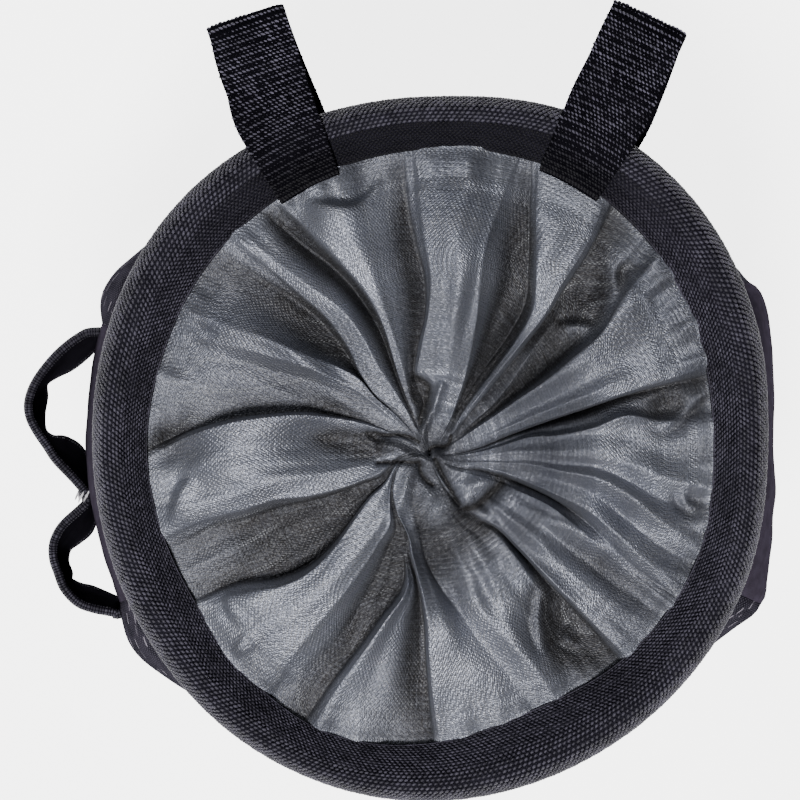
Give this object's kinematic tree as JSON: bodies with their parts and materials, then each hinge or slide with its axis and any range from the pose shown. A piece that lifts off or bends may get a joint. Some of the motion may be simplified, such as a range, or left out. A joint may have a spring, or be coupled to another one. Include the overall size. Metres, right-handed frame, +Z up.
{
  "type": "climbing chalk bag",
  "caption": "Soft cylindrical chalk bag with a stiff bound rim, a gathered cloth closure drawn shut, webbing belt loops and a side brush strap.",
  "frame": {"origin": "middle of the base, on the surface that the bag stands on", "axes": "+Z up through the mouth, +Y towards the belt loops at the back, +X to the right, away from the brush strap"},
  "size_m": [0.1511, 0.1527, 0.1519],
  "materials": {
    "base_cloth": "coarse matt plain weave",
    "jacquard_cloth": "fine dotted jacquard with short pale dashes",
    "plain_cloth": "smooth fine twill",
    "binding_tape": "matt ribbed binding tape",
    "ripstop_cloth": "thin satin ripstop",
    "webbing": "matt cross-ribbed webbing",
    "strap_tape": "satin elastic tape with corded edges"
  },
  "bodies": {
    "root": {"base_panel": "base_cloth", "front_panel": "jacquard_cloth", "back_panel": "jacquard_cloth", "side_panel_left": "plain_cloth", "side_panel_right": "plain_cloth", "rim_binding": "binding_tape", "closure_collar": "ripstop_cloth", "belt_loop_left": "webbing", "belt_loop_right": "webbing", "brush_strap": "strap_tape"}
  },
  "joints": []
}
